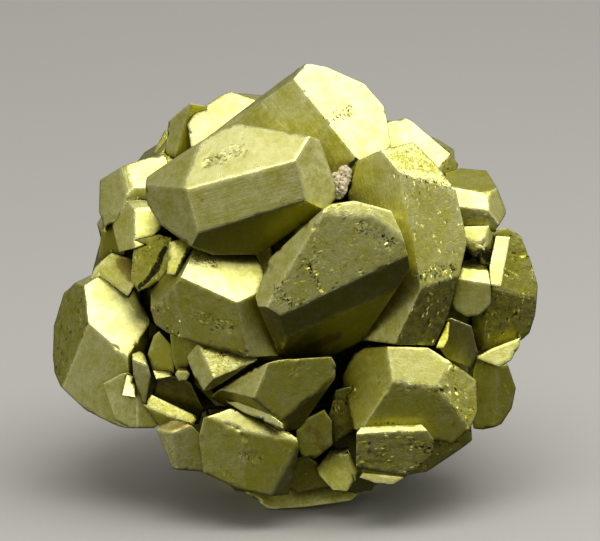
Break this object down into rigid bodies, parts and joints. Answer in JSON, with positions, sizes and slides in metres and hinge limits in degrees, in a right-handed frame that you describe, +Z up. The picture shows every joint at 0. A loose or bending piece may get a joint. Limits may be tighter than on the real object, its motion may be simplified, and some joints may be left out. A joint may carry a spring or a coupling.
{
  "type": "pyrite specimen",
  "caption": "Roundish cluster of intergrown brassy pyrite crystals with flat, striated faces and a pocket of quartz grains, cut flat underneath to rest on a shelf.",
  "frame": {"origin": "on the flat cut underneath, under the middle of the specimen's box", "axes": "+Z up, -Y towards the side with the best crystals, +X to that side's right"},
  "size_m": [0.0606, 0.0556, 0.055],
  "materials": {
    "pyrite": "pale brassy metallic lustre, striated and pitted crystal faces, olive in shade",
    "quartz": "dull pinkish white mineral grains"
  },
  "bodies": {
    "root": {"pyrite_cluster": "pyrite", "quartz_grains": "quartz"}
  },
  "joints": []
}
